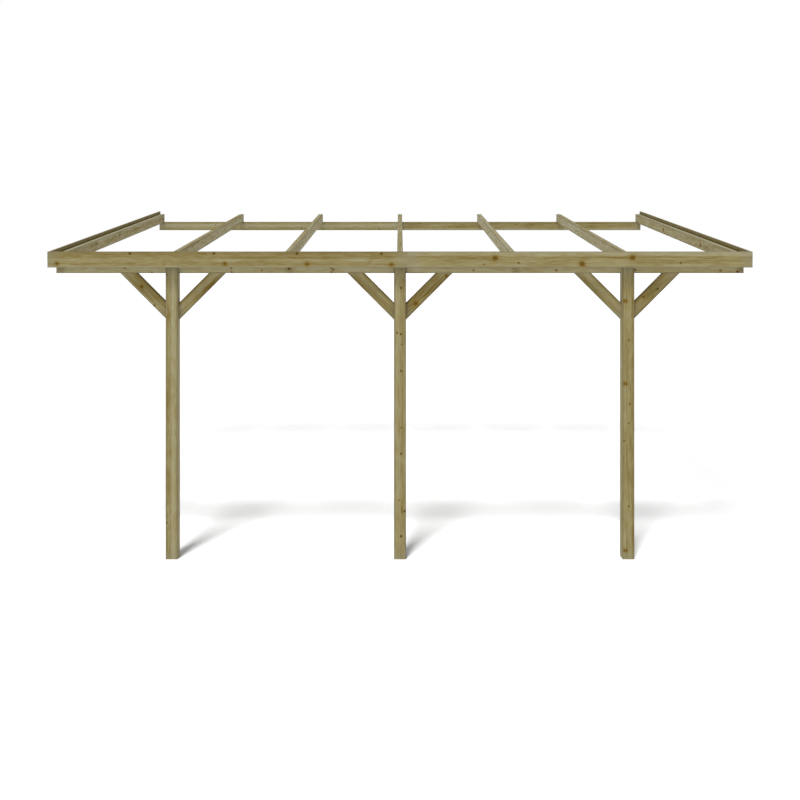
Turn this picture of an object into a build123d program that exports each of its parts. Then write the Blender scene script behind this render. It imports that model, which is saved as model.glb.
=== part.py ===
from build123d import *
from math import cos, radians, sin, tan
import os

# Lean-to carport frame in pressure-treated timber.
# The origin is on the wall, at the middle of the wall plate's back face:
# +X runs along the wall, +Y into it and +Z up.

# Timber sections
post_width = 90.0
timber_thickness = 45.0
timber_depth = 90.0
board_thickness = 20.0
board_depth = 120.0
arris_radius = 3.0

# Plan
rafter_spacing = 865.0
rafter_count = 7
post_names = ("left_post", "centre_post", "right_post")
post_bay_count = 2
roof_run = 3500.0
post_setback = 75.0
fascia_joint_offset = 55.0

# Heights and joints
purlin_height = 2165.0
roof_pitch = 5.0
purlin_notch = 30.0
wall_plate_seat = 10.0
brace_leg = 355.0
brace_angle = 45.0
cut_overrun = 60.0

# Places along the run, from the fascia back to the wall
post_front = -roof_run + post_setback
post_back = post_front + post_width
purlin_front = post_back - timber_thickness
wall_plate_front = -timber_thickness

# Places along the wall
frame_half_length = (rafter_count - 1) / 2 * rafter_spacing + timber_thickness / 2
fascia_half_length = frame_half_length + board_thickness

# Heights above the ground. The rafters' underside passes the purlin's front face
# one notch below the purlin's top.
slope = tan(radians(roof_pitch))
purlin_top = purlin_height + timber_depth
underside_at_wall = purlin_top - purlin_notch - slope * purlin_front
underside_at_eaves = underside_at_wall - slope * roof_run
wall_plate_top = underside_at_wall + slope * wall_plate_front + wall_plate_seat
wall_plate_middle = wall_plate_top - timber_depth / 2

# The same heights in the frame of the part
ground = -wall_plate_middle
purlin_z = ground + purlin_height
purlin_top_z = ground + purlin_top
wall_plate_top_z = ground + wall_plate_top
underside_z = ground + underside_at_wall
eaves_z = ground + underside_at_eaves

# The rafters' section plane looks down the slope from the wall, and the underside
# plane looks up from the rafters' bearing faces.
down_slope = (0, -cos(radians(roof_pitch)), -sin(radians(roof_pitch)))
square_to_slope = (0, -sin(radians(roof_pitch)), cos(radians(roof_pitch)))
section_plane = Plane(origin=(0, 0, underside_z), x_dir=(1, 0, 0), z_dir=down_slope)
underside_plane = Plane(origin=(0, 0, underside_z), x_dir=(1, 0, 0), z_dir=square_to_slope)
slope_length = roof_run / cos(radians(roof_pitch))

os.makedirs("parts", exist_ok=True)


def save(part, name):
    """Label a finished piece and write it under its own name."""
    part.label = name
    export_step(part, f"parts/{name}.step")


def rafter_x(number):
    """Place along the wall of the middle of a rafter, counted from the left."""
    return (number - (rafter_count + 1) / 2) * rafter_spacing


def post_x(index):
    """Place along the wall of the middle of a post: posts stand whole rafter bays apart."""
    return (index - (len(post_names) - 1) / 2) * post_bay_count * rafter_spacing


def make_post(name, x):
    """Square post: its rear half is rebated for the purlin, its front tongue meets the rafter."""
    with BuildPart() as post:
        with BuildSketch(Plane.XY.offset(ground)):
            with Locations((x, post_front + post_width / 2)):
                RectangleRounded(post_width, post_width, arris_radius)
        extrude(amount=purlin_top + cut_overrun)
        split(bisect_by=underside_plane, keep=Keep.BOTTOM)
        with Locations((x, purlin_front, purlin_z)):
            Box(
                post_width + cut_overrun,
                timber_thickness + cut_overrun,
                timber_depth + cut_overrun,
                align=(Align.CENTER, Align.MIN, Align.MIN),
                mode=Mode.SUBTRACT,
            )
    save(post.part, name)


def make_brace(name, x, side):
    """Corner brace, mitred at 45 degrees between a post's side and the purlin's underside."""
    face_x = x + side * post_width / 2
    inner_leg = brace_leg - timber_depth / sin(radians(brace_angle))
    with BuildPart() as brace:
        with BuildSketch(Plane.XZ.offset(-purlin_front)):
            with BuildLine():
                Polyline(
                    (face_x, purlin_z - brace_leg),
                    (face_x, purlin_z - inner_leg),
                    (face_x + side * inner_leg, purlin_z),
                    (face_x + side * brace_leg, purlin_z),
                    close=True,
                )
            make_face()
        extrude(amount=-timber_thickness)
        long_edges = brace.edges().filter_by(Axis((0, 0, 0), (side, 0, 1)))
        fillet(long_edges, arris_radius)
    save(brace.part, name)


def make_beam(name, start_x, length, front, bottom, thickness, depth):
    """Level timber along the wall, from its start towards the left (-) or the right (+)."""
    with BuildPart() as beam:
        with BuildSketch(Plane.YZ.offset(start_x)):
            with Locations((front, bottom)):
                RectangleRounded(thickness, depth, arris_radius, align=(Align.MIN, Align.MIN))
        extrude(amount=length)
    save(beam.part, name)


def make_rafter(name, x):
    """Rafter cut plumb at both ends, notched over the purlin and seated on the wall plate."""
    with BuildPart() as rafter:
        with BuildSketch(section_plane.offset(-cut_overrun)):
            with Locations((x, 0)):
                RectangleRounded(timber_thickness, timber_depth, arris_radius, align=(Align.CENTER, Align.MIN))
        extrude(amount=slope_length + 2 * cut_overrun)
        split(bisect_by=Plane.XZ)
        split(bisect_by=Plane.XZ.offset(roof_run), keep=Keep.BOTTOM)
        with Locations((x, purlin_front, purlin_top_z)):
            Box(
                timber_thickness + cut_overrun,
                timber_thickness,
                purlin_notch + cut_overrun,
                align=(Align.CENTER, Align.MIN, Align.MAX),
                mode=Mode.SUBTRACT,
            )
        with Locations((x, wall_plate_front, wall_plate_top_z)):
            Box(
                timber_thickness + cut_overrun,
                timber_thickness + cut_overrun,
                wall_plate_seat + cut_overrun,
                align=(Align.CENTER, Align.MIN, Align.MAX),
                mode=Mode.SUBTRACT,
            )
    save(rafter.part, name)


def make_verge_board(name, side):
    """Board on an end rafter's outer face, level with its underside and standing above its top."""
    middle = side * (frame_half_length + board_thickness / 2)
    with BuildPart() as verge:
        with BuildSketch(section_plane.offset(-cut_overrun)):
            with Locations((middle, 0)):
                RectangleRounded(board_thickness, board_depth, arris_radius, align=(Align.CENTER, Align.MIN))
        extrude(amount=slope_length + 2 * cut_overrun)
        split(bisect_by=Plane.XZ)
        split(bisect_by=Plane.XZ.offset(roof_run), keep=Keep.BOTTOM)
    save(verge.part, name)


# Posts, each with a pair of braces
sides = {"left": -1, "right": 1}
for index, post_name in enumerate(post_names):
    make_post(post_name, post_x(index))
    for side_name, side in sides.items():
        make_brace(f"{post_name}_{side_name}_brace", post_x(index), side)

# Purlin and wall plate, each of two lengths that butt in the middle
for side_name, side in sides.items():
    half = side * frame_half_length
    plate_z = wall_plate_top_z - timber_depth
    make_beam(f"purlin_{side_name}", 0, half, purlin_front, purlin_z, timber_thickness, timber_depth)
    make_beam(f"wall_plate_{side_name}", 0, half, wall_plate_front, plate_z, timber_thickness, timber_depth)

# Rafters, from left to right
for number in range(1, rafter_count + 1):
    make_rafter(f"rafter_{number}", rafter_x(number))

# Verge boards, and the fascia over their front ends
for side_name, side in sides.items():
    make_verge_board(f"{side_name}_verge_board", side)
    reach = side * fascia_half_length - fascia_joint_offset
    fascia_front = -roof_run - board_thickness
    make_beam(
        f"fascia_{side_name}", fascia_joint_offset, reach, fascia_front, eaves_z, board_thickness, board_depth
    )
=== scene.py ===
import math
from collections import namedtuple

import bmesh
import bpy
from bpy.props import FloatProperty, FloatVectorProperty, PointerProperty
from bpy.types import Operator, Panel, PropertyGroup
from mathutils import Matrix, Vector


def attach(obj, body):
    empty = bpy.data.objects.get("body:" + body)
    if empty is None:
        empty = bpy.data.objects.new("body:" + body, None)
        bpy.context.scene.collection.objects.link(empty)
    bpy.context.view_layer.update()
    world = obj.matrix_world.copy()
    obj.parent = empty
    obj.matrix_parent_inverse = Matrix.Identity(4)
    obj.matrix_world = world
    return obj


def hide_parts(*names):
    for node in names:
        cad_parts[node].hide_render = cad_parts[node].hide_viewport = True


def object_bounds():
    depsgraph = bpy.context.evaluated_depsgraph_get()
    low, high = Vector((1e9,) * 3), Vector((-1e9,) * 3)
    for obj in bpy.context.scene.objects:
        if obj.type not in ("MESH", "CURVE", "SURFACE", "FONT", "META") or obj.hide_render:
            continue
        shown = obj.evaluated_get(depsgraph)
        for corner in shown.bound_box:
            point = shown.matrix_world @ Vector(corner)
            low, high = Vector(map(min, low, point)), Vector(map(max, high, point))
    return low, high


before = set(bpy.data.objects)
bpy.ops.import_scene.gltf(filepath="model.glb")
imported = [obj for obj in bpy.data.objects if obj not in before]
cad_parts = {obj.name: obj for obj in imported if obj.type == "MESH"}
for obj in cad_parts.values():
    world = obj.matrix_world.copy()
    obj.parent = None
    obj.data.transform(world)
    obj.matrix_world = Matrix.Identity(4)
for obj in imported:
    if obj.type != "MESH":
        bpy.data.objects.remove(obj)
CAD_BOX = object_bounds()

bl_info = {
    "name": "Lean-to carport frame",
    "version": (1, 0, 0),
    "blender": (4, 5, 0),
    "location": "3D View > Sidebar > Carport",
    "description": "Finishes the treated timbers of a lean-to carport and sets its stage",
    "category": "Object",
}

# Places and directions, from the frame
LOWEST = CAD_BOX[0]
GROUND = LOWEST.z
MILLIMETRE = 0.001
FRONT = Vector((0, -1, 0))
RIGHT = Vector((1, 0, 0))
LEFT = -RIGHT
UP = Vector((0, 0, 1))

# The corners of one cut end agree to this many decimals of a metre.
END_DECIMALS = 4


def roof_slope():
    """Direction up the roof's slope, along the lower edge of a verge board."""
    corners = [vertex.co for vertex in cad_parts["left_verge_board"].data.vertices]
    front = min(corners, key=lambda corner: (round(corner.y, END_DECIMALS), corner.z))
    back = min(corners, key=lambda corner: (round(-corner.y, END_DECIMALS), corner.z))
    return Vector((0, back.y - front.y, back.z - front.z)).normalized()


SLOPE = roof_slope()
SKYWARD = RIGHT.cross(SLOPE)

# A timber's grain runs along it, and its show face looks towards the viewer. Its tone runs from brown at 0
# to pale at 1 and on to grey. Its pith is a place across the section, from the middle: to the left of the
# grain's direction as the show face is seen, then out of the show face. The brown heartwood reaches some way
# round the pith.
# A knot on the show face is its distance along the timber, its distance to the left of the middle and its
# radius. Live knots are orange brown, and dead ones are small and nearly black.
# A band is a soft oval drawn out along the grain: the place of its middle, its reach along and across, and
# how much paler or browner it is.
# A timber whose show face has painted shade in its corner over a rafter sets its last field to 1 where its
# left side is up and to -1 where its left side is down.
# Lengths are in millimetres.
Timber = namedtuple(
    "Timber", "node grain face tone pith heart live dead bands sawn", defaults=((), (), (), 0))

# Reach of a band that runs the whole length or width of its timber
WHOLE = 9000

# The paler bands at -50 on left_post and at 55 on right_post lie on the inner side faces, and are painted
# light there.
POSTS = (
    Timber(
        "left_post", UP, FRONT, 0.72, (38, 12), 6, (), ((278, 38, 6), (2154, 38, 6)),
        ((1250, -13, WHOLE, 20, 0.42), (1250, -50, WHOLE, 14, 0.25), (1250, 34, WHOLE, 34, -0.12),
         (1829, 18, 110, 24, -0.35), (1231, 22, 150, 24, -0.35), (588, 20, 150, 24, -0.35))),
    Timber(
        "centre_post", UP, FRONT, 0.85, (-6, -22), 20,
        ((1628, -15, 6), (997, -11, 6), (448, 4, 5)),
        ((2056, -8, 7), (1716, 22, 6), (1706, -6, 7), (1428, -8, 7), (800, -8, 7), (365, -34, 7),
         (176, -8, 8)),
        ((1250, -10, WHOLE, 22, -0.25), (375, -15, 45, 12, -0.5), (1250, 47, WHOLE, 20, -0.5),
         (1250, -47, WHOLE, 20, -0.45))),
    Timber(
        "right_post", UP, FRONT, 0.62, (-8, -20), 30,
        ((1957, 31, 8), (1954, 14, 7), (1659, -2, 7), (1330, 31, 8), (1328, 14, 7), (1178, -10, 7),
         (898, 32, 6), (67, 30, 8), (68, 12, 7)),
        ((1031, -2, 5), (403, -2, 6)),
        ((1250, -34, WHOLE, 22, -0.25), (1250, 55, WHOLE, 14, 0.8), (1957, 22, 32, 28, -0.5),
         (1330, 22, 32, 28, -0.5), (67, 20, 32, 28, -0.5))),
)

# Each brace's darker band along its upper inner edge, under the purlin, is partly painted shade and partly
# the wood's browner tone.
BRACES = (
    Timber(
        "left_post_left_brace", LEFT + UP, FRONT, 0.54, (20, -40), 50, ((314, 3, 13),), ((144, 34, 6),),
        ((250, -45, WHOLE, 10, -0.5), (250, -25, WHOLE, 28, -0.35), (250, 28, WHOLE, 28, 0.05))),
    Timber(
        "left_post_right_brace", RIGHT + UP, FRONT, 0.87, (-40, -35), 55, (), (),
        ((250, 48, WHOLE, 28, -0.7), (330, -38, 220, 26, -0.6), (250, -28, WHOLE, 34, -0.4))),
    Timber(
        "centre_post_left_brace", LEFT + UP, FRONT, 0.68, (5, -40), 40, (), (),
        ((250, -48, WHOLE, 20, -0.65), (390, 36, 160, 26, -0.5), (250, 28, WHOLE, 34, -0.15))),
    Timber(
        "centre_post_right_brace", RIGHT + UP, FRONT, 0.34, (8, -42), 50,
        ((140, -10, 17), (455, -25, 11)), (),
        ((250, 48, WHOLE, 18, -0.55), (330, -20, 130, 24, -0.3), (250, -44, WHOLE, 14, -0.4))),
    Timber(
        "right_post_left_brace", LEFT + UP, FRONT, 0.96, (-12, -44), 40, (), (),
        ((250, -48, WHOLE, 24, -0.7), (360, 34, 260, 26, -0.5), (250, 28, WHOLE, 34, -0.2))),
    Timber(
        "right_post_right_brace", RIGHT + UP, FRONT, 0.50, (10, -40), 45, ((178, 22, 9),), ((298, -11, 7),),
        ((250, 45, WHOLE, 10, -0.5), (235, 0, 130, 42, -0.4), (250, 28, WHOLE, 16, -0.25),
         (250, -44, WHOLE, 16, -0.4))),
)

# The purlin's tones are set paler, as painted light against the fascia's shade over it. Its bands across its
# whole width are painted shadows of the rafters, at its two ends and at rafters 3 and 5, and purlin_right's
# dark strip along its lower edge next to the centre post is a painted shadow of the post.
PURLINS = (
    Timber(
        "purlin_left", RIGHT, FRONT, 1.02, (5, -48), 40, ((1565, -25, 6), (2110, -18, 8)),
        ((523, -7, 5), (729, -42, 6), (1331, -6, 6), (1335, -38, 6), (1772, -10, 8), (2092, -8, 5),
         (2096, -38, 6)),
        ((30, 0, 50, WHOLE, -0.3), (1790, 0, 40, WHOLE, -0.3))),
    Timber(
        "purlin_right", RIGHT, FRONT, 0.94, (30, -46), 55,
        ((560, -22, 6), (1190, -22, 7), (1790, -20, 6), (2440, -25, 7)), ((2570, -35, 8),),
        ((880, 0, 40, WHOLE, -0.3), (2600, 0, 50, WHOLE, -0.4), (100, -47, 160, 14, -1.1))),
)

WALL_PLATES = (
    Timber(
        "wall_plate_left", RIGHT, FRONT, 0.70, (8, -50), 40,
        ((610, 10, 5), (1540, -20, 6), (2390, -32, 6)), (),
        ((1300, 5, WHOLE, 28, 0.4), (1300, -45, WHOLE, 22, -0.2))),
    Timber(
        "wall_plate_right", RIGHT, FRONT, 0.66, (-6, -46), 50,
        ((540, -14, 6), (1260, 18, 6), (2080, -8, 6)), (),
        ((1300, 25, WHOLE, 20, -0.3), (1300, -42, WHOLE, 22, 0.4))),
)

RAFTERS = (
    Timber(
        "rafter_1", SLOPE, RIGHT, 0.84, (10, -46), 45,
        ((420, -12, 6), (997, 16, 16), (1725, 8, 16), (2720, -18, 7)), (),
        ((1750, 46, WHOLE, 12, 0.7),)),
    Timber(
        "rafter_2", SLOPE, RIGHT, 0.93, (-6, -50), 45, ((760, 16, 6), (1610, -10, 7), (2950, 20, 6)), (),
        ((1750, 46, WHOLE, 14, -0.35),)),
    Timber(
        "rafter_3", SLOPE, RIGHT, 0.97, (12, -44), 40, ((1180, -14, 6), (2230, 10, 6)), (),
        ((1750, 46, WHOLE, 14, -0.15), (1750, -32, WHOLE, 26, 0.4))),
    Timber("rafter_4", SLOPE, SKYWARD, 0.90, (4, -80), 40, ((640, 6, 6), (1490, -9, 6), (2560, 5, 7))),
    Timber(
        "rafter_5", SLOPE, LEFT, 1.14, (-10, -48), 40, ((930, 12, 6), (2080, -16, 6)), (),
        ((1750, -46, WHOLE, 14, -0.1),)),
    Timber(
        "rafter_6", SLOPE, LEFT, 1.13, (8, -44), 45, ((710, -15, 6), (1880, 14, 7), (2870, -8, 6)), (),
        ((1750, -46, WHOLE, 14, -0.35),)),
    Timber(
        "rafter_7", SLOPE, LEFT, 0.89, (-12, -50), 45, ((360, 10, 6), (1098, 8, 18), (2333, 6, 18)), (),
        ((1750, -46, WHOLE, 12, 0.6),)),
)

# The pale band along each fascia board's lower edge, at -62 and at -59, is painted light against the shade
# of its down-facing arris.
FASCIAS = (
    Timber(
        "fascia_left", RIGHT, FRONT, 0.92, (5, -65), 40,
        ((71, -29, 11), (1328, -29, 10), (1942, -33, 10), (2574, -36, 10)),
        ((617, 45, 8), (1246, 45, 8), (1867, 44, 8), (2499, 44, 8)),
        ((1340, 40, WHOLE, 42, -0.55), (1340, 10, WHOLE, 14, -0.3), (1340, -26, WHOLE, 20, -0.4),
         (1340, -40, WHOLE, 14, -0.25), (1340, -62, WHOLE, 12, 0.5), (71, -30, 34, 30, -0.35),
         (871, -31, 26, 24, -0.3), (1328, -32, 36, 32, -0.45), (1942, -34, 36, 32, -0.45),
         (2414, -15, 26, 24, -0.25), (2574, -36, 36, 32, -0.45))),
    Timber(
        "fascia_right", RIGHT, FRONT, 0.66, (10, -65), 40,
        ((656, 11, 20), (1307, -30, 19), (1685, 14, 20), (575, -36, 5)),
        ((832, -25, 6), (2044, -25, 6)),
        ((1300, 54, WHOLE, 32, 0.4), (1300, 18, WHOLE, 10, -0.25), (1300, -59, WHOLE, 13, 0.45),
         (500, 9, 200, 8, -0.5), (1590, 13, 130, 8, -0.5), (1060, 10, 80, 10, -0.4),
         (2240, 10, 80, 10, -0.4))),
)

# Both verge boards have painted shade on their inner side, in the corner over the rafters.
VERGE_BOARDS = (
    Timber(
        "left_verge_board", SLOPE, RIGHT, 0.75, (-10, -50), 45,
        ((520, 18, 8), (1430, -20, 10), (2610, 12, 8)), sawn=1),
    Timber(
        "right_verge_board", SLOPE, LEFT, 0.75, (12, -52), 45,
        ((840, -16, 9), (1950, 22, 8), (2890, -10, 9)), sawn=-1),
)

# The pith wanders to each side by this much, so many times in a metre along the timber and across it.
PITH_WANDER = 4 * MILLIMETRE
WANDERS_PER_METRE = (0.9, 6, 6)

# Rings start to part this far from a knot, and darken towards the end of the year by this power.
RING_PARTING = 40 * MILLIMETRE
LATE_POWER = 3

# Heartwood starts this far outside its edge and is full this far inside.
HEART_OUTSIDE = 2 * MILLIMETRE
HEART_INSIDE = 4 * MILLIMETRE

# A branch leans up its stem by this share of its length. Its knot is drawn out along the grain, where a
# length counts for this share. A timber with no knot of a kind has one this far away, out of sight.
KNOT_LEAN = 0.25
KNOT_SQUEEZE = 0.8
FAR_KNOT = 1

# A band has its full strength up to this share of its reach.
BAND_CORE_SHARE = 0.2

# Tones at which pale streaks start to turn grey and are greyest
GREYING_START = 0.85
GREYING_END = 1.3

# Shares of their own colours that the palest streaks, the arrises, the dry ends and the end grain take, and
# that the painted shade in a verge board's corner over a rafter keeps at its upper edge
GREYING_SHARE = 0.45
ARRIS_SHARE = 0.5
DRY_SHARE = 0.35
END_GRAIN_SHARE = 0.35
FADED_SHADE_SHARE = 0.4

# A face's lean along the grain at which its end grain starts and is full, and its lean out of the show face
# at which the painted shade in a verge board's corner starts and is full
END_GRAIN_START = 0.5
END_GRAIN_FULL = 0.7
SHADED_FACE_START = -0.5
SHADED_FACE_FULL = 0.6

# Roughness of the planed wood, what a raised fibre adds to it, the fibre's height, and the share of that
# height that late wood stands out by
PLANED_ROUGHNESS = 0.6
FIBRE_ROUGHNESS = 0.3
FIBRE_HEIGHT = 0.4 * MILLIMETRE
LATE_HEIGHT_SHARE = 0.4

# The patterns of a group's timbers lie this far apart.
SEED_STEP = 7.3

# Corners closer than this are one, faces that differ by less than this are one, and edges over this are
# sharp.
WELD = 0.01 * MILLIMETRE
FLAT_ANGLE = math.radians(0.5)
SHARP_ANGLE = math.radians(50)

# A piece's own map for baking keeps this much room between its strips.
STRIP_GAP = 6 * MILLIMETRE

# Ways that the lights shine: the sun from the upper left in front, and the fills nearly level, one from the
# front left and one from the wall's side
SUNBEAM = (0.19, 0.59, -1)
FRONT_FILL_BEAM = (0.45, 0.88, -0.1)
BACK_FILL_BEAM = (0, -1, -0.02)

# Sockets of a mix node that carry colours
MIX_FROM = 6
MIX_TO = 7
MIX_RESULT = 2


def linear(colour):
    """Linear colour of an sRGB hex value."""
    shares = [int(colour[place:place + 2], 16) / 255 for place in (1, 3, 5)]
    return tuple(share / 12.92 if share <= 0.04045 else ((share + 0.055) / 1.055) ** 2.4 for share in shares)


class CarportWood(PropertyGroup):
    """Colours and grain of the treated spruce."""

    pale: FloatVectorProperty(
        name="Pale wood", description="Grey-green of the pale streaks", subtype="COLOR",
        min=0, max=1, default=linear("#9d936b"))
    brown: FloatVectorProperty(
        name="Brown wood", description="Olive brown of the dark streaks", subtype="COLOR",
        min=0, max=1, default=linear("#79662e"))
    grey: FloatVectorProperty(
        name="Grey wood", description="Grey that the palest streaks turn to", subtype="COLOR",
        min=0, max=1, default=linear("#a19c86"))
    live_knot: FloatVectorProperty(
        name="Live knot", description="Orange brown of a live knot", subtype="COLOR",
        min=0, max=1, default=linear("#7f6118"))
    dead_knot: FloatVectorProperty(
        name="Dead knot", description="Dark brown of a dead knot, and of a live one's heart",
        subtype="COLOR", min=0, max=1, default=linear("#4c3a10"))
    arris: FloatVectorProperty(
        name="Arris", description="Dark grey green of the arrises", subtype="COLOR",
        min=0, max=1, default=linear("#605c48"))
    # Colour of the painted shade in the verge boards' corners over the rafters
    sawn: FloatVectorProperty(
        name="Corner shade colour", description="Dark olive of the painted shade in a verge board's corner over a rafter",
        subtype="COLOR", min=0, max=1, default=linear("#544400"))
    dry_end: FloatVectorProperty(
        name="Dry end", description="Grey that a timber dries to next to its cut ends", subtype="COLOR",
        min=0, max=1, default=linear("#8f8c78"))
    figure: FloatProperty(
        name="Figure", description="How strongly the patches, streaks, flecks and rings show", default=1)
    coarse_figure: FloatProperty(
        name="Coarse figure", description="The same in the rafters, which are cut from coarser logs",
        default=1.8)
    ring_width: FloatProperty(
        name="Ring width", description="Growth of the log in one year",
        unit="LENGTH", default=7 * MILLIMETRE)
    patch_width: FloatProperty(
        name="Patch width", description="Width of a pale or brown patch",
        unit="LENGTH", default=38 * MILLIMETRE)
    patch_length: FloatProperty(
        name="Patch length", description="Length of a pale or brown patch",
        unit="LENGTH", default=240 * MILLIMETRE)
    streak_width: FloatProperty(
        name="Streak width", description="Width of a streak across the grain",
        unit="LENGTH", default=9 * MILLIMETRE)
    streak_length: FloatProperty(
        name="Streak length", description="Length of a streak along the grain",
        unit="LENGTH", default=1100 * MILLIMETRE)
    fleck_width: FloatProperty(
        name="Fleck width", description="Width of a fleck", unit="LENGTH", default=8 * MILLIMETRE)
    fleck_length: FloatProperty(
        name="Fleck length", description="Length of a fleck", unit="LENGTH", default=70 * MILLIMETRE)
    fibre_width: FloatProperty(
        name="Fibre width", description="Width of a raised fibre", unit="LENGTH", default=1.5 * MILLIMETRE)
    fibre_length: FloatProperty(
        name="Fibre length", description="Length of a raised fibre", unit="LENGTH", default=60 * MILLIMETRE)
    arris_reach: FloatProperty(
        name="Arris reach", description="How far the dark of an arris reaches",
        unit="LENGTH", default=13 * MILLIMETRE)
    # Heights of that painted shade on a verge board's inner side: full below the first, faded above the
    # second
    full_shade_line: FloatProperty(
        name="Full shade line",
        description="Height over a verge board's middle up to which its painted corner shade is full",
        unit="LENGTH", default=32 * MILLIMETRE)
    faded_shade_line: FloatProperty(
        name="Faded shade line",
        description="Height over a verge board's middle from which its painted corner shade is faded",
        unit="LENGTH", default=45 * MILLIMETRE)
    dry_reach: FloatProperty(
        name="Dry reach", description="How far a dry end reaches along a timber",
        unit="LENGTH", default=120 * MILLIMETRE)


class CarportStage(PropertyGroup):
    """Camera, floor and light."""

    camera_distance: FloatProperty(
        name="Camera distance", description="From the fascia to the camera", unit="LENGTH", default=7.633)
    camera_height: FloatProperty(
        name="Camera height", description="Above the ground", unit="LENGTH", default=2.622)
    lens: FloatProperty(name="Lens", description="Focal length", unit="CAMERA", default=45.93)
    drop: FloatProperty(
        name="Drop", description="Share of the picture that the lens is shifted down", default=0.2336)
    floor_size: FloatProperty(name="Floor size", description="Side of the floor", unit="LENGTH", default=90)
    floor: FloatVectorProperty(
        name="Floor", description="White of the floor as it is seen", subtype="COLOR",
        min=0, max=1, default=linear("#bebebe"))
    far_floor: FloatVectorProperty(
        name="Far floor", description="The same behind the frame, greyer to keep the faint shadows there",
        subtype="COLOR", min=0, max=1, default=linear("#b5b5b5"))
    far_start: FloatProperty(
        name="Far start", description="Distance from the wall at which the floor starts to turn greyer",
        unit="LENGTH", default=1.9)
    far_end: FloatProperty(
        name="Far end", description="Distance from the wall at which the floor is greyest",
        unit="LENGTH", default=1.3)
    floor_bounce: FloatVectorProperty(
        name="Floor bounce", description="Grey of the floor as it lights the timbers", subtype="COLOR",
        min=0, max=1, default=linear("#a0a09f"))
    sky: FloatProperty(name="Sky", description="Strength of the even light from all round", default=0.63)
    sun: FloatProperty(name="Sun", description="Strength of the light from the upper left", default=1.15)
    floor_sun: FloatProperty(
        name="Floor sun", description="Strength of the same light that the floor alone gets more of",
        default=5.5)
    sun_size: FloatProperty(
        name="Sun size", description="Width of the sun and of the back fill",
        subtype="ANGLE", default=math.radians(13.5))
    fill: FloatProperty(
        name="Front fill", description="Strength of the level light from the front left", default=0.52)
    fill_size: FloatProperty(
        name="Fill size", description="Width of the front fill", subtype="ANGLE", default=math.radians(40))
    back_fill: FloatProperty(
        name="Back fill", description="Strength of the level light from the wall's side", default=0.45)


def node(tree, kind, settings, sockets):
    """Add a node with its settings, and give each socket a value or a link."""
    made = tree.nodes.new(kind)
    for name, value in settings.items():
        setattr(made, name, value)
    for name, value in sockets.items():
        if isinstance(value, bpy.types.NodeSocket):
            tree.links.new(value, made.inputs[name])
        else:
            made.inputs[name].default_value = value
    return made


def empty_tree(owner):
    """Node tree of a material or a world, with nothing in it."""
    owner.use_nodes = True
    owner.node_tree.nodes.clear()
    return owner.node_tree


def growth(tree, given, wood):
    """Distance from the pith, and the late wood and heartwood there, as shares."""
    # The pith wanders from a straight line, which draws the rings out into long loops.
    wander = node(tree, "ShaderNodeVectorMath", {"operation": "MULTIPLY"}, {
        0: given["Place"], 1: WANDERS_PER_METRE})
    wander = node(tree, "ShaderNodeTexNoise", {"noise_dimensions": "4D"}, {
        "Vector": wander.outputs[0], "W": given["Seed"], "Scale": 1, "Detail": 2, "Roughness": 0.4})
    wander = node(tree, "ShaderNodeVectorMath", {"operation": "MULTIPLY_ADD"}, {
        0: wander.outputs["Color"], 1: (0, 2 * PITH_WANDER, 2 * PITH_WANDER),
        2: (0, -PITH_WANDER, -PITH_WANDER)})
    across = node(tree, "ShaderNodeVectorMath", {"operation": "MULTIPLY_ADD"}, {
        0: given["Place"], 1: (0, 1, 1), 2: wander.outputs[0]})
    stem = node(tree, "ShaderNodeVectorMath", {"operation": "LENGTH"}, {
        0: across.outputs[0]}).outputs["Value"]

    # Years of growth: the rings of the stem part round each knot.
    knot = node(tree, "ShaderNodeMath", {"operation": "MINIMUM"}, {
        0: given["Live knot"], 1: given["Dead knot"]})
    ring = node(tree, "ShaderNodeMath", {"operation": "SMOOTH_MIN"}, {
        0: stem, 1: knot.outputs[0], 2: RING_PARTING})
    years = node(tree, "ShaderNodeMath", {"operation": "DIVIDE"}, {0: ring.outputs[0], 1: wood.ring_width})
    year = node(tree, "ShaderNodeMath", {"operation": "FRACT"}, {0: years.outputs[0]})
    late = node(tree, "ShaderNodeMath", {"operation": "POWER"}, {0: year.outputs[0], 1: LATE_POWER})
    past_heart = node(tree, "ShaderNodeMath", {"operation": "SUBTRACT"}, {0: stem, 1: given["Heart"]})
    heartwood = node(tree, "ShaderNodeMapRange", {"interpolation_type": "SMOOTHSTEP"}, {
        "Value": past_heart.outputs[0], "From Min": HEART_OUTSIDE, "From Max": -HEART_INSIDE})
    return stem, late.outputs[0], heartwood.outputs[0]


def drawn_grain(tree, given, wood):
    """Patches, streaks, flecks and fibres, drawn out along the grain."""
    drawn = {}
    for name, length, width, detail in (
        ("patch", wood.patch_length, wood.patch_width, 1),
        ("streak", wood.streak_length, wood.streak_width, 3),
        ("fleck", wood.fleck_length, wood.fleck_width, 1),
        ("fibre", wood.fibre_length, wood.fibre_width, 1),
    ):
        place = node(tree, "ShaderNodeVectorMath", {"operation": "DIVIDE"}, {
            0: given["Place"], 1: (length, width, width)})
        noise = node(tree, "ShaderNodeTexNoise", {"noise_dimensions": "4D"}, {
            "Vector": place.outputs[0], "W": given["Seed"], "Scale": 1, "Detail": detail, "Roughness": 0.5})
        drawn[name] = noise.outputs[0]
    return drawn


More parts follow.
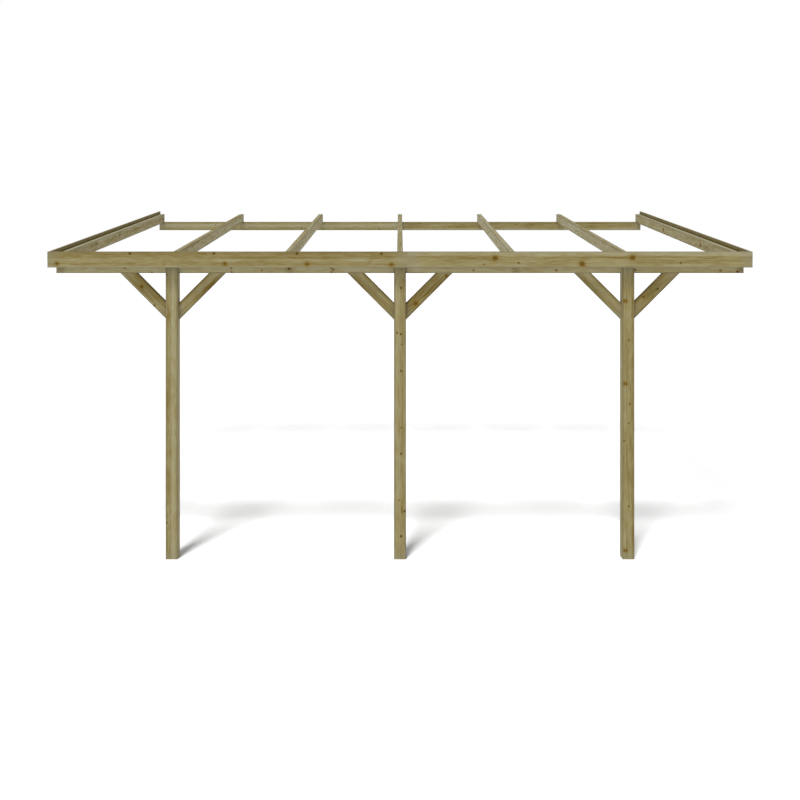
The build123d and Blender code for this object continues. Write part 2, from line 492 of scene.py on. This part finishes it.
# Planed pressure-treated spruce: the green salts leave the sapwood a pale grey olive, the heartwood round
# the pith stays browner, and both are drawn along the grain in patches, streaks and flecks. Resin keeps the
# live knots orange brown. The planed faces are dull, and the raised fibres catch the light a little.
# Rings and flecks are drawn about twice their real width so that they show in the picture.
def spruce_figure(wood):
    """Node group with the colour, roughness and height of the wood at a place in its log."""
    tree = bpy.data.node_groups.get("Spruce figure")
    if tree:
        return tree
    tree = bpy.data.node_groups.new("Spruce figure", "ShaderNodeTree")
    tree.interface.new_socket("Place", in_out="INPUT", socket_type="NodeSocketVector")
    for name in ("Live knot", "Dead knot", "Heart", "Tone", "Figure", "Seed", "Arris", "Dry", "End", "Sawn"):
        tree.interface.new_socket(name, in_out="INPUT", socket_type="NodeSocketFloat")
    tree.interface.new_socket("Colour", in_out="OUTPUT", socket_type="NodeSocketColor")
    for name in ("Roughness", "Height"):
        tree.interface.new_socket(name, in_out="OUTPUT", socket_type="NodeSocketFloat")
    given = node(tree, "NodeGroupInput", {}, {}).outputs
    stem, late, heartwood = growth(tree, given, wood)
    drawn = drawn_grain(tree, given, wood)

    # Paler or browner than the timber's tone: each figure has a strength, and a mean that is taken off.
    figures = (
        (drawn["patch"], 0.8, 0.5),
        (drawn["streak"], 1.0, 0.5),
        (drawn["fleck"], 1.2, 0.5),
        (late, -0.3, 1 / (LATE_POWER + 1)),
        (heartwood, -0.4, 0),
    )
    shift = -sum(strength * mean for figure, strength, mean in figures)
    for figure, strength, mean in figures:
        shift = node(tree, "ShaderNodeMath", {"operation": "MULTIPLY_ADD"}, {
            0: figure, 1: strength, 2: shift}).outputs[0]
    tone = node(tree, "ShaderNodeMath", {"operation": "MULTIPLY_ADD"}, {
        0: shift, 1: given["Figure"], 2: given["Tone"]})
    colour = node(tree, "ShaderNodeMix", {"data_type": "RGBA", "clamp_factor": False}, {
        0: tone.outputs[0], MIX_FROM: (*wood.brown, 1), MIX_TO: (*wood.pale, 1)})
    palest = node(tree, "ShaderNodeMapRange", {"interpolation_type": "SMOOTHSTEP"}, {
        "Value": tone.outputs[0], "From Min": GREYING_START, "From Max": GREYING_END,
        "To Max": GREYING_SHARE})

    # The palest streaks are grey, the arrises dark, and the ends dry and grey for a short way. The end grain
    # itself is browner, and a verge board's corner over a rafter has painted shade.
    layers = [
        (palest.outputs[0], wood.grey), (given["Arris"], wood.arris), (given["Dry"], wood.dry_end),
        (given["End"], wood.brown), (given["Sawn"], wood.sawn),
    ]

    # Knots: a stain drawn round the knot, the knot and its heart, from outside in. A layer starts and is
    # full at a depth in the knot, which is 0 at its skin and 1 on its axis.
    for field, start, full, strength, shade in (
        ("Live knot", -1.2, 0.2, 0.35, wood.live_knot),
        ("Live knot", -0.2, 0.3, 0.85, wood.live_knot),
        ("Live knot", 0.1, 0.6, 0.65, wood.dead_knot),
        ("Dead knot", -1.2, 0.3, 0.4, wood.live_knot),
        ("Dead knot", -0.3, 0.5, 1.0, wood.dead_knot),
    ):
        inside = node(tree, "ShaderNodeMath", {"operation": "SUBTRACT"}, {0: stem, 1: given[field]})
        depth = node(tree, "ShaderNodeMath", {"operation": "DIVIDE"}, {0: inside.outputs[0], 1: stem})
        share = node(tree, "ShaderNodeMapRange", {"interpolation_type": "SMOOTHSTEP"}, {
            "Value": depth.outputs[0], "From Min": start, "From Max": full, "To Max": strength})
        layers.append((share.outputs[0], shade))
    for share, shade in layers:
        colour = node(tree, "ShaderNodeMix", {"data_type": "RGBA"}, {
            0: share, MIX_FROM: colour.outputs[MIX_RESULT], MIX_TO: (*shade, 1)})

    roughness = node(tree, "ShaderNodeMath", {"operation": "MULTIPLY_ADD"}, {
        0: drawn["fibre"], 1: FIBRE_ROUGHNESS, 2: PLANED_ROUGHNESS})
    height = node(tree, "ShaderNodeMath", {"operation": "MULTIPLY_ADD"}, {
        0: late, 1: LATE_HEIGHT_SHARE, 2: drawn["fibre"]})
    node(tree, "NodeGroupOutput", {}, {
        "Colour": colour.outputs[MIX_RESULT], "Roughness": roughness.outputs[0],
        "Height": height.outputs[0]})
    return tree


def knot_distances(tree, place, timber, pith, half):
    """Distances from the nearest live and dead knot, scaled to equal the pith's on a knot's skin."""
    # Each knot is a cone with its point on the pith.
    squeeze = Vector((KNOT_SQUEEZE, 1, 1))
    squeezed = node(tree, "ShaderNodeVectorMath", {"operation": "MULTIPLY"}, {
        0: place, 1: squeeze}).outputs[0]
    nearest = {}
    for field, knots in (("Live knot", timber.live), ("Dead knot", timber.dead)):
        nearest[field] = FAR_KNOT
        for along, left, radius in knots:
            out = Vector((0, left * MILLIMETRE, half.z)) - pith
            lean = Vector((KNOT_LEAN * out.length, 0, 0))
            root = (Vector((along * MILLIMETRE, 0, 0)) - lean) * squeeze
            offset = node(tree, "ShaderNodeVectorMath", {"operation": "SUBTRACT"}, {0: squeezed, 1: root})
            line = node(tree, "ShaderNodeVectorMath", {"operation": "PROJECT"}, {
                0: offset.outputs[0], 1: (out + lean) * squeeze})
            away = node(tree, "ShaderNodeVectorMath", {"operation": "DISTANCE"}, {
                0: offset.outputs[0], 1: line.outputs[0]})
            knot = node(tree, "ShaderNodeMath", {"operation": "MULTIPLY"}, {
                0: away.outputs["Value"], 1: out.length / (radius * MILLIMETRE)})
            nearest[field] = node(tree, "ShaderNodeMath", {"operation": "MINIMUM"}, {
                0: nearest[field], 1: knot.outputs[0]}).outputs[0]
    return nearest


def banded_tone(tree, place, timber, pith):
    """Tone of the timber, with its paler and browner bands."""
    tone = timber.tone
    for along, left, reach, width, shift in timber.bands:
        middle = Vector((along, left, 0)) * MILLIMETRE - pith
        offset = node(tree, "ShaderNodeVectorMath", {"operation": "SUBTRACT"}, {0: place, 1: middle})
        share = node(tree, "ShaderNodeVectorMath", {"operation": "MULTIPLY"}, {
            0: offset.outputs[0], 1: (1 / (reach * MILLIMETRE), 1 / (width * MILLIMETRE), 0)})
        share = node(tree, "ShaderNodeVectorMath", {"operation": "LENGTH"}, {0: share.outputs[0]})
        share = node(tree, "ShaderNodeMapRange", {"interpolation_type": "SMOOTHSTEP"}, {
            "Value": share.outputs["Value"], "From Min": 1, "From Max": BAND_CORE_SHARE, "To Max": shift})
        tone = node(tree, "ShaderNodeMath", {"operation": "ADD"}, {0: tone, 1: share.outputs[0]}).outputs[0]
    return tone


def edge_shares(tree, centred, timber, half, wood):
    """Shares of the darker arrises, the dry ends, the end grain and the painted shade in a verge board's
    corner.
    """
    depth = node(tree, "ShaderNodeVectorMath", {"operation": "ABSOLUTE"}, {0: centred})
    depth = node(tree, "ShaderNodeVectorMath", {"operation": "SUBTRACT"}, {0: half, 1: depth.outputs[0]})
    depth = node(tree, "ShaderNodeSeparateXYZ", {}, {0: depth.outputs[0]}).outputs
    arris = node(tree, "ShaderNodeMath", {"operation": "MAXIMUM"}, {0: depth["Y"], 1: depth["Z"]})
    arris = node(tree, "ShaderNodeMapRange", {"interpolation_type": "SMOOTHSTEP"}, {
        "Value": arris.outputs[0], "From Min": wood.arris_reach, "From Max": 0, "To Max": ARRIS_SHARE})
    dry = node(tree, "ShaderNodeMapRange", {"interpolation_type": "SMOOTHSTEP"}, {
        "Value": depth["X"], "From Min": wood.dry_reach, "From Max": 0, "To Max": DRY_SHARE})

    normal = node(tree, "ShaderNodeNewGeometry", {}, {}).outputs["Normal"]
    end = node(tree, "ShaderNodeVectorMath", {"operation": "DOT_PRODUCT"}, {
        0: normal, 1: timber.grain.normalized()})
    end = node(tree, "ShaderNodeMath", {"operation": "ABSOLUTE"}, {0: end.outputs["Value"]})
    end = node(tree, "ShaderNodeMapRange", {"interpolation_type": "SMOOTHSTEP"}, {
        "Value": end.outputs[0], "From Min": END_GRAIN_START, "From Max": END_GRAIN_FULL,
        "To Max": END_GRAIN_SHARE})
    shares = {"Arris": arris.outputs[0], "Dry": dry.outputs[0], "End": end.outputs[0]}

    # Painted shade in a verge board's corner over a rafter: full low on its inner side, fading towards its
    # upper edge.
    if timber.sawn:
        across = node(tree, "ShaderNodeSeparateXYZ", {}, {0: centred})
        shade_height = node(tree, "ShaderNodeMapRange", {"interpolation_type": "SMOOTHSTEP"}, {
            "Value": across.outputs["Y"], "From Min": timber.sawn * wood.full_shade_line,
            "From Max": timber.sawn * wood.faded_shade_line, "To Min": 1, "To Max": FADED_SHADE_SHARE})
        shaded_face = node(tree, "ShaderNodeVectorMath", {"operation": "DOT_PRODUCT"}, {0: normal, 1: timber.face})
        shaded_face = node(tree, "ShaderNodeMapRange", {"interpolation_type": "SMOOTHSTEP"}, {
            "Value": shaded_face.outputs["Value"], "From Min": SHADED_FACE_START, "From Max": SHADED_FACE_FULL})
        shares["Sawn"] = node(tree, "ShaderNodeMath", {"operation": "MULTIPLY"}, {
            0: shade_height.outputs[0], 1: shaded_face.outputs[0]}).outputs[0]
    return shares


def treated_spruce(timber, start, axes, half, seed, figure, wood):
    """Wood of one timber, with its pith, its tone and its knots."""
    material = bpy.data.materials.new(f"Planed treated spruce {timber.node}")
    tree = empty_tree(material)
    pith = Vector((0, *timber.pith)) * MILLIMETRE
    coordinates = node(tree, "ShaderNodeTexCoord", {}, {})
    place = node(tree, "ShaderNodeMapping", {"vector_type": "TEXTURE"}, {
        "Vector": coordinates.outputs["Object"], "Location": start + axes @ pith,
        "Rotation": axes.to_euler()}).outputs[0]
    centred = node(tree, "ShaderNodeVectorMath", {"operation": "ADD"}, {
        0: place, 1: pith - Vector((half.x, 0, 0))}).outputs[0]
    spruce = node(tree, "ShaderNodeGroup", {"node_tree": spruce_figure(wood)}, {
        "Place": place, "Heart": timber.heart * MILLIMETRE, "Figure": figure, "Seed": seed,
        "Tone": banded_tone(tree, place, timber, pith),
        **knot_distances(tree, place, timber, pith, half),
        **edge_shares(tree, centred, timber, half, wood)}).outputs
    bump = node(tree, "ShaderNodeBump", {}, {
        "Height": spruce["Height"], "Strength": 0.35, "Distance": FIBRE_HEIGHT})
    surface = node(tree, "ShaderNodeBsdfPrincipled", {}, {
        "Base Color": spruce["Colour"], "Roughness": spruce["Roughness"],
        "Normal": bump.outputs["Normal"], "IOR": 1.5, "Specular IOR Level": 0.1})
    node(tree, "ShaderNodeOutputMaterial", {}, {"Surface": surface.outputs[0]})
    return material


def lay_out_strips(bm, to_timber, length, rows):
    """Lay a timber's faces side by side in its bake map: its lengths in rows, its cut ends in a column."""
    layer = bm.loops.layers.uv.new("OFBake")
    sides, ends = {}, []
    for face in bm.faces:
        normal = to_timber.to_3x3() @ face.normal
        if abs(normal.x) > END_GRAIN_START:
            ends.append(face)
        else:
            turn = round(math.degrees(math.atan2(normal.z, normal.y))) % 360
            sides.setdefault(turn, []).append(face)

    # Each side's way round the timber, and its place across a row
    strips, girth = {}, STRIP_GAP
    for turn in sorted(sides):
        angle = math.radians(turn)
        tangent = Vector((0, -math.sin(angle), math.cos(angle)))
        reach = [tangent.dot(to_timber @ vertex.co) for face in sides[turn] for vertex in face.verts]
        strips[turn] = tangent, girth - min(reach)
        girth += max(reach) - min(reach)
    girth += STRIP_GAP

    spots = {}
    row_length = length / rows
    for turn, (tangent, shift) in strips.items():
        for face in sides[turn]:
            row = min(int((to_timber @ face.calc_center_median()).x / row_length), rows - 1)
            for loop in face.loops:
                place = to_timber @ loop.vert.co
                spots[loop] = (place.x - row * row_length, row * girth + shift + tangent.dot(place))
    column, top = row_length + STRIP_GAP, 0
    for face in ends:
        places = {loop: to_timber @ loop.vert.co for loop in face.loops}
        lowest = Vector([min(place[axis] for place in places.values()) for axis in range(3)])
        for loop, place in places.items():
            spots[loop] = (column + place.z - lowest.z, top + place.y - lowest.y)
        top += max(place.y for place in places.values()) - lowest.y + STRIP_GAP
    room = max(max(spot) for spot in spots.values()) + STRIP_GAP
    for loop, (along, across) in spots.items():
        loop[layer].uv = ((along + STRIP_GAP / 2) / room, (across + STRIP_GAP / 2) / room)


def finish_timber(timber, seed, figure, wood):
    """Make one timber from its node of the frame: the same shape in flat faces, with its own wood."""
    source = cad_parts[timber.node]
    grain = timber.grain.normalized()
    axes = Matrix((grain, timber.face.cross(grain), timber.face)).transposed()
    corners = [axes.transposed() @ vertex.co for vertex in source.data.vertices]
    lowest = Vector([min(corner[axis] for corner in corners) for axis in range(3)])
    highest = Vector([max(corner[axis] for corner in corners) for axis in range(3)])
    half = (highest - lowest) / 2
    length = highest.x - lowest.x
    start = axes @ Vector((lowest.x, lowest.y + half.y, lowest.z + half.z))
    to_timber = (Matrix.Translation(start) @ axes.to_4x4()).inverted()

    # The timber is cut into as many rows as make its bake map about square.
    bm = bmesh.new()
    bm.from_mesh(source.data)
    bmesh.ops.remove_doubles(bm, verts=bm.verts, dist=WELD)
    bmesh.ops.dissolve_limit(bm, angle_limit=FLAT_ANGLE, verts=bm.verts, edges=bm.edges)
    girth = 4 * (half.y + half.z)
    rows = max(1, round(math.sqrt(length / girth)))
    for cut in range(1, rows):
        bmesh.ops.bisect_plane(
            bm, geom=bm.verts[:] + bm.edges[:] + bm.faces[:],
            plane_co=start + grain * length * cut / rows, plane_no=grain)
    lay_out_strips(bm, to_timber, length, rows)
    for face in bm.faces:
        face.smooth = True
    mesh = bpy.data.meshes.new(f"{timber.node}_timber")
    bm.to_mesh(mesh)
    bm.free()
    mesh.set_sharp_from_angle(angle=SHARP_ANGLE)
    mesh.materials.append(treated_spruce(timber, start, axes, half, seed, figure, wood))

    piece = bpy.data.objects.new(f"{timber.node}_timber", mesh)
    bpy.context.scene.collection.objects.link(piece)
    piece.modifiers.new("Flat faces", "WEIGHTED_NORMAL").keep_sharp = True
    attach(piece, "root")
    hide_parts(timber.node)


def finish_timbers(timbers, figure, wood):
    """Finish a group of like timbers, each from its own log."""
    for number, timber in enumerate(timbers):
        finish_timber(timber, SEED_STEP * number + len(timber.node), figure, wood)


class CARPORT_OT_posts(Operator):
    """Finish the three posts"""

    bl_idname = "carport.posts"
    bl_label = "Posts"

    def execute(self, context):
        wood = context.scene.carport_wood
        finish_timbers(POSTS, wood.figure, wood)
        return {"FINISHED"}


class CARPORT_OT_braces(Operator):
    """Finish the six corner braces"""

    bl_idname = "carport.braces"
    bl_label = "Braces"

    def execute(self, context):
        wood = context.scene.carport_wood
        finish_timbers(BRACES, wood.figure, wood)
        return {"FINISHED"}


class CARPORT_OT_purlin(Operator):
    """Finish the two lengths of the purlin"""

    bl_idname = "carport.purlin"
    bl_label = "Purlin"

    def execute(self, context):
        wood = context.scene.carport_wood
        finish_timbers(PURLINS, wood.figure, wood)
        return {"FINISHED"}


class CARPORT_OT_wall_plate(Operator):
    """Finish the two lengths of the wall plate"""

    bl_idname = "carport.wall_plate"
    bl_label = "Wall plate"

    def execute(self, context):
        wood = context.scene.carport_wood
        finish_timbers(WALL_PLATES, wood.figure, wood)
        return {"FINISHED"}


class CARPORT_OT_rafters(Operator):
    """Finish the seven rafters"""

    bl_idname = "carport.rafters"
    bl_label = "Rafters"

    def execute(self, context):
        wood = context.scene.carport_wood
        finish_timbers(RAFTERS, wood.coarse_figure, wood)
        return {"FINISHED"}


class CARPORT_OT_boards(Operator):
    """Finish the fascia's two boards and the two verge boards"""

    bl_idname = "carport.boards"
    bl_label = "Fascia and verge boards"

    def execute(self, context):
        wood = context.scene.carport_wood
        finish_timbers(FASCIAS + VERGE_BOARDS, wood.figure, wood)
        return {"FINISHED"}


def seen_share(tree):
    """1 for rays by which the camera sees, straight, mirrored or through glass, and 0 for light."""
    path = node(tree, "ShaderNodeLightPath", {}, {}).outputs
    share = path["Is Camera Ray"]
    for way in ("Is Glossy Ray", "Is Transmission Ray"):
        share = node(tree, "ShaderNodeMath", {"operation": "MAXIMUM"}, {0: share, 1: path[way]}).outputs[0]
    return share


# Matt white studio floor: white as it is seen, with faint shadows kept behind the frame by a slightly greyer
# white, and greyer all over as it lights the timbers, so that it does not flood them.
def studio_floor(stage):
    """Material of the floor."""
    material = bpy.data.materials.new("Matt white studio floor")
    tree = empty_tree(material)
    coordinates = node(tree, "ShaderNodeTexCoord", {}, {})
    place = node(tree, "ShaderNodeSeparateXYZ", {}, {0: coordinates.outputs["Object"]})
    far = node(tree, "ShaderNodeMapRange", {"interpolation_type": "SMOOTHSTEP"}, {
        "Value": place.outputs["Y"], "From Min": -stage.far_start, "From Max": -stage.far_end})
    white = node(tree, "ShaderNodeMix", {"data_type": "RGBA"}, {
        0: far.outputs[0], MIX_FROM: (*stage.floor, 1), MIX_TO: (*stage.far_floor, 1)})
    colour = node(tree, "ShaderNodeMix", {"data_type": "RGBA"}, {
        0: seen_share(tree), MIX_FROM: (*stage.floor_bounce, 1), MIX_TO: white.outputs[MIX_RESULT]})
    surface = node(tree, "ShaderNodeBsdfDiffuse", {}, {"Color": colour.outputs[MIX_RESULT]})
    node(tree, "ShaderNodeOutputMaterial", {}, {"Surface": surface.outputs[0]})
    return material


def studio_sky(stage):
    """World that lights evenly and is seen as white."""
    world = bpy.data.worlds.new("Studio sky")
    tree = empty_tree(world)
    white = (1, 1, 1, 1)
    light = node(tree, "ShaderNodeBackground", {}, {"Color": white, "Strength": stage.sky})
    backdrop = node(tree, "ShaderNodeBackground", {}, {"Color": white, "Strength": 1})
    shown = node(tree, "ShaderNodeMixShader", {}, {
        0: seen_share(tree), 1: light.outputs[0], 2: backdrop.outputs[0]})
    node(tree, "ShaderNodeOutputWorld", {}, {"Surface": shown.outputs[0]})
    return world


def studio_light(name, travel, strength, size):
    """A soft light that shines along a direction."""
    light = bpy.data.lights.new(name, "SUN")
    light.energy = strength
    light.angle = size
    lamp = bpy.data.objects.new(name, light)
    lamp.rotation_euler = Vector(travel).to_track_quat("-Z", "Y").to_euler()
    bpy.context.scene.collection.objects.link(lamp)
    return lamp


class CARPORT_OT_stage(Operator):
    """Set the camera, the floor and the lights"""

    bl_idname = "carport.stage"
    bl_label = "Stage"

    def execute(self, context):
        stage = context.scene.carport_stage
        bm = bmesh.new()
        bmesh.ops.create_grid(bm, size=stage.floor_size / 2, matrix=Matrix.Translation((0, 0, GROUND)))
        mesh = bpy.data.meshes.new("studio_floor")
        bm.to_mesh(mesh)
        bm.free()
        mesh.materials.append(studio_floor(stage))
        floor = bpy.data.objects.new("studio_floor", mesh)
        context.scene.collection.objects.link(floor)

        context.scene.world = studio_sky(stage)
        studio_light("front_fill", FRONT_FILL_BEAM, stage.fill, stage.fill_size)
        studio_light("back_fill", BACK_FILL_BEAM, stage.back_fill, stage.sun_size)
        studio_light("sun", SUNBEAM, stage.sun, stage.sun_size)
        floor_sun = studio_light("floor_sun", SUNBEAM, stage.floor_sun, stage.sun_size)
        lit = bpy.data.collections.new("lit_by_floor_sun")
        lit.objects.link(floor)
        floor_sun.light_linking.receiver_collection = lit

        # The camera looks level at the wall, with its lens shifted down.
        view = bpy.data.cameras.new("camera")
        view.lens = stage.lens
        view.shift_y = -stage.drop
        camera = bpy.data.objects.new("camera", view)
        camera.location = (0, LOWEST.y - stage.camera_distance, GROUND + stage.camera_height)
        camera.rotation_euler = (math.pi / 2, 0, 0)
        context.scene.collection.objects.link(camera)
        context.scene.camera = camera
        context.scene.view_settings.view_transform = "Standard"
        return {"FINISHED"}


class CARPORT_PT_panel(Panel):
    """Pieces of the carport and its stage"""

    bl_idname = "CARPORT_PT_panel"
    bl_label = "Lean-to carport"
    bl_space_type = "VIEW_3D"
    bl_region_type = "UI"
    bl_category = "Carport"

    def draw(self, context):
        for operator in OPERATORS:
            self.layout.operator(operator.bl_idname)
        for settings in (context.scene.carport_wood, context.scene.carport_stage):
            box = self.layout.box()
            for name in settings.__annotations__:
                box.prop(settings, name)


OPERATORS = (
    CARPORT_OT_posts,
    CARPORT_OT_braces,
    CARPORT_OT_purlin,
    CARPORT_OT_wall_plate,
    CARPORT_OT_rafters,
    CARPORT_OT_boards,
    CARPORT_OT_stage,
)
CLASSES = (CarportWood, CarportStage, *OPERATORS, CARPORT_PT_panel)


def register():
    for cls in CLASSES:
        bpy.utils.register_class(cls)
    bpy.types.Scene.carport_wood = PointerProperty(type=CarportWood)
    bpy.types.Scene.carport_stage = PointerProperty(type=CarportStage)


def unregister():
    del bpy.types.Scene.carport_wood
    del bpy.types.Scene.carport_stage
    for cls in reversed(CLASSES):
        bpy.utils.unregister_class(cls)


def main():
    register()
    for operator in OPERATORS:
        group, name = operator.bl_idname.split(".")
        getattr(getattr(bpy.ops, group), name)()


if __name__ == "__main__":
    main()
